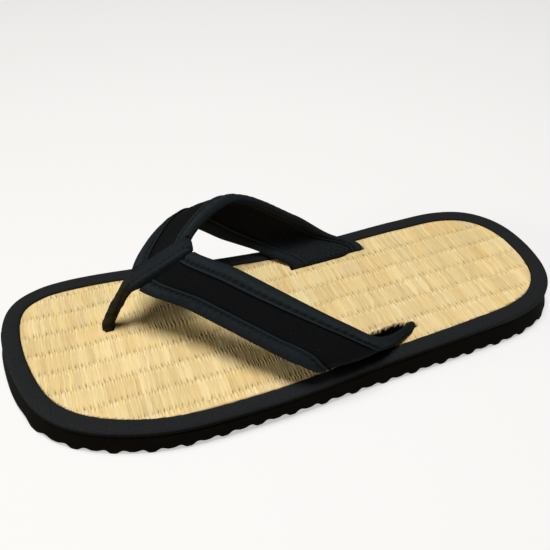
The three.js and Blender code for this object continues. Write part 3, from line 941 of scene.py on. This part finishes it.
def slit_pits(x, y):
    """How deep the mat is opened at each place: 1 in the two slits and the post's hole, 0 away.
    The slits gape on their medial side towards the heel, where the strap pulls them open."""
    pit = np.zeros_like(x)
    for row, side, gape in ((LATERAL_STRAP[4], -1, 3.4), (MEDIAL_STRAP[4], 1, 0.8)):
        start = strap_point(row[0], side * row[1], 0)[:2]
        end = strap_point(row[3], side * row[4], 0)[:2]
        reach = np.linalg.norm(end - start)
        line = (end - start) / reach
        place = (x - start[0]) * line[0] + (y - start[1]) * line[1]
        away = (y - start[1]) * line[0] - (x - start[0]) * line[1]
        pulled = between(place, 0.25 * reach, 0.6 * reach, 0.82 * reach, reach + 3.5)
        ragged = 0.35 * wander(place, 2.1, 13) + 0.25 * wander(place, 4.7, 14)
        upper = 1.5 + gape * pulled + 0.5 * ragged
        across = between(away, -1.8, -1.4, upper - 0.4, upper + 0.4)
        pit = np.maximum(pit, across * between(place, -1.5, 0, reach + 0.2, reach + 1.4))
    foot = strap_point(0.55, 0.75, 0)[:2]
    hole = 1 - smoothstep(np.hypot(x - foot[0], y - foot[1]), 2.4, 3.2)
    return np.maximum(pit, hole)


# ---------- strap pieces ----------


def felt_mesh(strap):
    """Felt strip from slit to slit: a thin section that sinks a little between its tapes and is
    never quite even. Its reverse is greyer than its face, but painted shade keeps it dark under
    the band and on the lateral side, greying towards the medial slit."""
    half = strap.felt_thickness / 2
    share = np.linspace(0, 1, 420)
    width = strap_lines(share)[2]
    portion = np.linspace(0, 1, 34)
    distance = FELT_INSET + portion * (width[:, None] - 2 * FELT_INSET)
    way = share[:, None] * FELT_WAY
    rough = 0.05 * wander(way + distance, 7, 31) + 0.05 * wander(distance * 1.3 - way * 0.4, 5, 32)
    sink = 0.22 * np.sin(np.pi * portion) ** 2
    along_strap = np.broadcast_to(share[:, None], distance.shape)
    top = strap_place(along_strap, distance, half + rough - sink)
    base = strap_place(along_strap, distance, -half + 0.5 * rough - sink)
    rings = np.concatenate([top, base[:, ::-1]], axis=1)
    # Painted shade on the reverse: dark from the lateral slit to past the band, greying only towards the
    # medial slit.
    grey = 0.1 + 0.9 * smoothstep(along_strap - 0.5, 0.1, 0.36)
    marks = {"reverse": np.concatenate([np.zeros(distance.shape), grey], axis=1)}
    return surface("felt_strap", rings, uv=flat_uv(rings), attributes=marks)


def tape_taper(share):
    """Factor on a tape's width: two smooth steps down, one on the way from the band to either
    slit and one at the lateral slit."""
    to_slit = 0.17 * smoothstep(np.abs(share - 0.5), 0.1, 0.42)
    at_lateral_slit = 0.16 * smoothstep(0.5 - share, 0.38, 0.48)
    return 1.08 - to_slit - at_lateral_slit


def tape_way(edge, side, end_share, steps, strap):
    """Even shares of the strap's way from the band's side to a tape's end, and the distance of
    each from the band along the strap's front edge."""
    curve = FRONT_EDGE if edge == "front" else REAR_EDGE
    start = share_at_out(curve, side * (strap.band_width / 2 - TAPE_TUCK))
    share = np.linspace(start, end_share, steps)
    zero = np.zeros_like(share)
    return share, way_along(strap_place(share, zero, zero))


def tape_mesh(name, edge, side, width, strap):
    """Cotton tape folded over one edge of the strap. The section goes from its upper inner edge
    over a thin folded lip, a stitched groove and a padded bulge, round the fold and back the same
    way underneath, then inside along the felt. Dimples at the stitches, small wrinkles and, over
    the top of the medial rear, slanting ridges press into the bulge."""
    inner = strap.felt_thickness / 2 + GAP
    share, way = tape_way(edge, side, 0 if side < 0 else 1, 520, strap)
    share, way = share[:, None], way[:, None]
    from_inner_edge, distance, over, under = np.array(TAPE_SECTION).T
    distance = from_inner_edge * width + distance
    distance = np.concatenate([distance, distance[::-1]]) + 0 * way
    height = np.concatenate([inner + over, -inner - under[::-1]]) + 0 * way
    distance, height = (np.roll(grid, -TAPE_EDGE_ROW, axis=1) for grid in (distance, height))

    face = np.sign(height)
    outer = np.abs(height) > inner + 0.01
    inward = distance - width
    groove = bell(inward, -1.9, 0.55)
    stitched = smoothstep(np.cos(2 * np.pi * way / strap.stitch_pitch), -0.2, 0.9)
    seed = {"front": 40, "rear": 60}[edge] + side
    bulge = bell(inward, -4.4, 2.0)
    shoulder = bell(inward, -2.9, 0.9)
    wrinkle = 0.03 * wander(way + 0.3 * distance, 3.3, seed)
    wrinkle += 0.07 * wander(way - 0.2 * distance, 7.5, seed + 1)
    push = wrinkle * bulge - 0.2 * shoulder * stitched - 0.12 * groove * stitched
    if edge == "rear":
        push += 0.05 * wander(way + 1.4 * distance, 2.6, seed + 2) * bell(inward, -3.4, 1.8)
    if edge == "rear" and side > 0:
        slant = np.sin(2 * np.pi * (way + 1.3 * distance * face) / 3.6)
        push += 0.3 * between(way, 20, 30, 58, 74) * slant * bulge
    height = height + np.where(outer, face * push, 0)
    # Painted shade: darkest in the stitched groove at the dimples, faint along the rest of the groove, and
    # a thin dark line where the tape's inner edge meets the felt.
    seam = np.where(outer, np.minimum(1.4 * groove * (0.12 + 0.88 * stitched), 1), 0)
    seam[:, [0, -2 * TAPE_EDGE_ROW - 1]] = 0.95
    # Painted highlight on the lip's crest and the padded bulge, more on the rear tapes, broken by a mottle
    # of wear.
    mottled = wander(way + 0.4 * distance, 5.3, seed + 3) * wander(distance + 0.3 * way, 2.9, seed + 4)
    highlighted = 0.42 if edge == "rear" else 0.1 + 0.3 * smoothstep(way, 14, 2)
    highlight_and_wear = np.where(outer, 0.6 * bell(inward, -0.45, 0.35) + (highlighted + 0.35 * mottled) * bulge, 0)

    from_front = distance * tape_taper(share)
    if edge == "rear":
        from_front = strap_lines(share[:, 0])[2][:, None] - from_front
    rings = strap_place(np.broadcast_to(share, from_front.shape), from_front, height)
    marks = {"seam": seam, "highlight_and_wear": np.clip(highlight_and_wear, 0, 1)}
    return surface(name, rings, uv=flat_uv(rings), attributes=marks)


def thread_bits(name, centres, ahead, up, length, width):
    """Stitches: for each centre a short rounded bar along its own direction, six steps long and
    six-sided round, worked out for all stitches at once."""
    t = np.linspace(-1, 1, 7)
    thick = (np.sqrt(np.clip(1 - np.abs(t) ** 3, 0, 1)) * width / 2)[:, None, None]
    angle = np.linspace(0, 2 * np.pi, 6, endpoint=False)[:, None]
    centres, ahead, up = (vectors[:, None, None] for vectors in (centres, ahead, up))
    side = unit(np.cross(ahead, up))
    line = centres + ahead * (t * length / 2)[:, None, None] - up * (0.18 * t**2)[:, None, None]
    points = line + (side * np.cos(angle) + up * np.sin(angle)) * thick
    return surface(name, points, ends=False, merge=True)


def stitch_places(way, line, spots, step):
    """Middles of stitches at given distances along a line, and the direction of each."""
    at, after = read_along(way, line, spots), read_along(way, line, spots + step)
    return at, unit(after - at)


def tape_stitches(edge, side, width, strap):
    """Places of one tape's stitches, on the upper and the under side: each sits in a dimple."""
    share, way = tape_way(edge, side, 0.03 if side < 0 else 0.97, 900, strap)
    spots = np.arange(strap.stitch_pitch, way[-1], strap.stitch_pitch)
    distance = (width - TAPE_STITCH_INSET) * tape_taper(share)
    if edge == "rear":
        distance = strap_lines(share)[2] - distance
    places = []
    for face in (1, -1):
        height = np.full_like(share, face * (strap.felt_thickness / 2 + GAP + 0.02))
        at, ahead = stitch_places(way, strap_place(share, distance, height), spots, 0.3)
        above = read_along(way, strap_place(share, distance, height + face), spots)
        places.append((at, ahead, unit(above - at)))
    return [np.vstack(both) for both in zip(*places)]


def post_and_band_mesh(strap):
    """One cotton strip, rolled into the post and folded flat over the centre seam: a rounded
    section swept from under the mat up the post, over the nose and along the strap to its rear
    edge. Its width, thickness and squareness change along the way. The post is lumpy with two
    long folds, and the band dips along its seams."""
    post = strap_point(*np.array(POST_PATH, float).T)
    front = strap_point(STRAP_CENTRE[0], 0, STRAP_CENTRE[1])
    rear = strap_point(STRAP_CENTRE[2], 0, STRAP_CENTRE[3])
    along_strap = unit(rear - front)
    nose = front - along_strap * 1.5
    band = [front + along_strap * 5, front + along_strap * 18, rear + along_strap * 0.9]
    path = curve_through([*post, nose + np.array([0, 0, -0.3]), *band], 1500)
    length = way_along(path)
    even = np.linspace(0, length[-1], 260)
    path = read_along(length, path, even)
    nose_at = even[np.argmin(np.linalg.norm(path - nose, axis=1))]

    forward = unit(np.gradient(path, axis=0))
    sideways = np.broadcast_to(np.array([-math.sin(STRAP_TURN), math.cos(STRAP_TURN), 0.0]), forward.shape)
    upright = unit(np.cross(forward, sideways))
    upright = upright * np.sign(upright[:, 2:] + 1e-9)

    way = even[:, None]
    flat = smoothstep(way, nose_at - 7, nose_at + 6)
    rolled = 1 - flat
    end = smoothstep(way, even[-1] - 2.2, even[-1])
    half_band = strap.band_width / 2
    half_width = (3.15 + 0.15 * smoothstep(way, 12, 4)) * rolled + half_band * flat
    half_width = half_width * (1 - 0.22 * end)
    half_thick = (2.8 * rolled + 2.75 * flat) * (1 - 0.45 * end)
    power = 2 * rolled + 4.6 * flat

    angle = np.linspace(0, 2 * np.pi, 56, endpoint=False)[None]
    cos, sin = np.cos(angle), np.sin(angle)
    size = (np.abs(cos) ** power + np.abs(sin) ** power) ** (-1 / power)
    twist = angle + way * 0.05
    lumps = 0.1 * wander(way + 2.2 * np.sin(twist), 7.5, 71)
    lumps += 0.03 * wander(way * 1.3 + 3 * np.cos(twist), 4.2, 72)
    folds = [
        depth * bell(np.angle(np.exp(1j * (twist - turned))), 0, spread)
        for turned, depth, spread in ((4.2, 0.5, 0.28), (5.6, 0.3, 0.2))
    ]
    foot_flare = 0.35 * bell(way, 4.2, 1.6)
    grow = 1 + rolled * (lumps - folds[0] - folds[1] + foot_flare) / 2.6
    out, up = half_width * size * cos * grow, half_thick * size * sin * grow

    face = flat * (np.abs(sin) > 0.3)
    turn = np.cos(2 * np.pi * way / BAND_STITCH_PITCH)
    off_middle = np.abs(out)
    seam_dip = bell(off_middle, half_band - BAND_SEAM_INSET, 0.55)
    up = up - np.sign(up) * face * (0.22 * seam_dip * (0.6 + 0.4 * turn))
    up = up + face * 0.03 * (wander(way, 5, 73) + wander(out, 2.5, 76))
    # Painted shade in the dips along the band's seams, deepest at the stitches; the bar adds two dark tack
    # stitches near the band's end.
    seam = face * seam_dip * (0.25 + 0.7 * smoothstep(turn, -0.3, 0.9))
    bar = bell(way, even[-1] - 2.6, 0.5) * bell(off_middle, 2.9, 0.6)
    mottled = wander(way + 0.2 * out, 4.6, 74) * wander(out + 0.1 * way, 2.4, 77)
    # The band's flat faces are paler, with a mottle, and palest in a strip along each folded edge.
    highlight_and_wear = face * (0.3 + 0.25 * mottled) + 0.5 * face * bell(off_middle, half_band - 1.0, 0.5)
    # Painted reflection of the straw: the rolled post is tinted brown, unevenly.
    straw_reflection = rolled * np.clip(0.75 + 0.5 * wander(way + 2.2 * np.sin(twist), 4.5, 75), 0, 1)

    rings = path[:, None] + sideways[:, None] * out[..., None] + upright[:, None] * up[..., None]
    marks = {"seam": np.maximum(seam, face * bar), "highlight_and_wear": np.clip(highlight_and_wear, 0, 1), "straw_reflection": straw_reflection}
    mesh = surface("post_and_band", rings, uv=flat_uv(rings), attributes=marks)
    return mesh, (path, sideways, upright, even, nose_at)


def band_stitches(spine, strap):
    """Places of the stitches along both sides of the band."""
    path, sideways, upright, even, nose_at = spine
    spots = np.arange(nose_at + 6, even[-1] - 1.2, BAND_STITCH_PITCH)
    out = strap.band_width / 2 - BAND_SEAM_INSET
    rows = [stitch_places(even, path + sideways * x + upright * 2.5, spots, 0.4) for x in (-out, out)]
    ups = read_along(even, upright, spots)
    return [np.vstack(both) for both in zip(*((at, ahead, ups) for at, ahead in rows))]


# ---------- operators ----------


class SLIPPER_OT_outsole(bpy.types.Operator):
    """Foam outsole with moulded ripples"""

    bl_idname = "slipper.outsole"
    bl_label = "Outsole"

    def execute(self, context):
        sole = context.scene.slipper_sole
        add_piece("outsole_foam", outsole_mesh(sole), eva_foam(sole.foam_color), ["outsole"])
        return {"FINISHED"}


class SLIPPER_OT_rim(bpy.types.Operator):
    """Cloth-bound rim round the footbed"""

    bl_idname = "slipper.rim"
    bl_label = "Rim"

    def execute(self, context):
        sole = context.scene.slipper_sole
        cloth = woven_cotton("rim_cotton", sole.rim_color, 0.8, 1.6, lift=1.35, sheen=0.04)
        add_piece("rim_cloth", rim_mesh(sole), cloth, ["edge_binding"])
        return {"FINISHED"}


class SLIPPER_OT_mat(bpy.types.Operator):
    """Woven rush footbed"""

    bl_idname = "slipper.mat"
    bl_label = "Woven mat"

    def execute(self, context):
        sole = context.scene.slipper_sole
        rush = woven_rush(sole.rush_color)
        add_piece("woven_mat", mat_mesh(sole), rush, ["woven_mat_insole"])
        return {"FINISHED"}


class SLIPPER_OT_felt(bpy.types.Operator):
    """Felt strap from slit to slit"""

    bl_idname = "slipper.felt"
    bl_label = "Felt strap"

    def execute(self, context):
        strap = context.scene.slipper_strap
        felt = black_felt(strap.felt_color)
        add_piece("felt_strap", felt_mesh(strap), felt, ["upper_strap"])
        return {"FINISHED"}


class SLIPPER_OT_tapes(bpy.types.Operator):
    """Four folded tapes and their stitches"""

    bl_idname = "slipper.tapes"
    bl_label = "Tapes"

    def execute(self, context):
        strap = context.scene.slipper_strap
        cloth = woven_cotton("tape_cotton", strap.tape_color, 0.7, 1.3, lift=1.9, sheen=0.06)
        thread = plain_thread("sewing_thread", "07090C")
        for edge, width in (("front", strap.front_tape_width), ("rear", strap.rear_tape_width)):
            for side, word in ((-1, "lateral"), (1, "medial")):
                tape = f"cotton_{word}_{edge}"
                mesh = tape_mesh(tape, edge, side, width, strap)
                add_piece(tape, mesh, cloth, [f"tape_{word}_{edge}"])
                row = f"stitches_{word}_{edge}"
                bits = thread_bits(row, *tape_stitches(edge, side, width, strap), length=1.6, width=0.36)
                add_piece(row, bits, thread)
        return {"FINISHED"}


class SLIPPER_OT_post(bpy.types.Operator):
    """Toe post and the band over the centre seam"""

    bl_idname = "slipper.post"
    bl_label = "Toe post and seam band"

    def execute(self, context):
        strap = context.scene.slipper_strap
        cloth = woven_cotton("post_cotton", strap.band_color, 0.7, 1.5, lift=1.5, sheen=0.04)
        mesh, spine = post_and_band_mesh(strap)
        add_piece("post_and_band", mesh, cloth, ["seam_band_and_toe_post"])
        bits = thread_bits("stitches_band", *band_stitches(spine, strap), length=1.6, width=0.45)
        add_piece("stitches_band", bits, plain_thread("band_thread", "07080A"))
        return {"FINISHED"}


def place_camera(azimuth, elevation, roll, distance, aim, lens, shift):
    """Camera on a sphere round the aim point: azimuth turns about Z from -Y, elevation lifts it,
    and roll turns it about its own line of sight. shift slides the view up by a share of itself."""
    a, e = math.radians(azimuth), math.radians(elevation)
    back = Vector((math.sin(a) * math.cos(e), -math.cos(a) * math.cos(e), math.sin(e)))
    data = bpy.data.cameras.new("camera")
    data.lens = lens
    data.sensor_width = 36
    data.shift_y = shift
    data.clip_start, data.clip_end = 0.01, 20
    camera = bpy.data.objects.new("camera", data)
    turn = (-back).to_track_quat("-Z", "Y").to_matrix() @ Matrix.Rotation(math.radians(roll), 3, "Z")
    camera.matrix_world = Matrix.Translation(Vector(aim) * MM + back * distance * MM) @ turn.to_4x4()
    bpy.context.scene.collection.objects.link(camera)
    bpy.context.scene.camera = camera


def add_area_light(name, place, aim, size, power, color):
    """Square soft light at a place, turned towards a point, both in millimetres."""
    data = bpy.data.lights.new(name, "AREA")
    data.shape = "SQUARE"
    data.size = size * MM
    data.energy = power
    data.color = color
    light = bpy.data.objects.new(name, data)
    turn = ((Vector(aim) - Vector(place)) * MM).to_track_quat("-Z", "Y").to_matrix()
    light.matrix_world = Matrix.Translation(Vector(place) * MM) @ turn.to_4x4()
    bpy.context.scene.collection.objects.link(light)


class SLIPPER_OT_stage(bpy.types.Operator):
    """Pale floor, soft lights and the camera"""

    bl_idname = "slipper.stage"
    bl_label = "Stage"

    def execute(self, context):
        scene = context.scene
        corners = [(x * FLOOR_REACH, y * FLOOR_REACH, 0) for x, y in ((-1, -1), (1, -1), (1, 1), (-1, 1))]
        mesh = bpy.data.meshes.new("floor")
        mesh.from_pydata(corners, [], [(0, 1, 2, 3)])
        mesh.materials.append(light_table("ACACAC"))
        floor = bpy.data.objects.new("floor", mesh)
        scene.collection.objects.link(floor)
        for light in LIGHTS:
            add_area_light(*light)
        scene.world = bpy.data.worlds.new("studio")
        scene.world.use_nodes = True
        background = scene.world.node_tree.nodes["Background"]
        background.inputs["Color"].default_value = linear("FAE6BC")
        background.inputs["Strength"].default_value = 0.07
        scene.view_settings.view_transform = "Standard"
        scene.view_settings.look = "None"
        place_camera(**CAMERA)
        return {"FINISHED"}


class SLIPPER_PT_panel(bpy.types.Panel):
    """Lists the slipper's pieces and settings"""

    bl_label = "Bamboo slipper"
    bl_idname = "SLIPPER_PT_panel"
    bl_space_type = "VIEW_3D"
    bl_region_type = "UI"
    bl_category = "Slipper"

    def draw(self, context):
        layout = self.layout
        for settings in (context.scene.slipper_sole, context.scene.slipper_strap):
            box = layout.box()
            for name in settings.bl_rna.properties.keys():
                if name not in {"rna_type", "name"}:
                    box.prop(settings, name)
        for operator in OPERATORS:
            layout.operator(operator.bl_idname)


OPERATORS = [
    SLIPPER_OT_stage,
    SLIPPER_OT_outsole,
    SLIPPER_OT_rim,
    SLIPPER_OT_mat,
    SLIPPER_OT_felt,
    SLIPPER_OT_tapes,
    SLIPPER_OT_post,
]
CLASSES = [SoleSettings, StrapSettings, *OPERATORS, SLIPPER_PT_panel]


def register():
    for cls in CLASSES:
        bpy.utils.register_class(cls)
    bpy.types.Scene.slipper_sole = bpy.props.PointerProperty(type=SoleSettings)
    bpy.types.Scene.slipper_strap = bpy.props.PointerProperty(type=StrapSettings)


def unregister():
    del bpy.types.Scene.slipper_strap
    del bpy.types.Scene.slipper_sole
    for cls in reversed(CLASSES):
        bpy.utils.unregister_class(cls)


def main():
    register()
    bpy.ops.slipper.stage()
    bpy.ops.slipper.outsole()
    bpy.ops.slipper.rim()
    bpy.ops.slipper.mat()
    bpy.ops.slipper.felt()
    bpy.ops.slipper.tapes()
    bpy.ops.slipper.post()


if __name__ == "__main__":
    main()
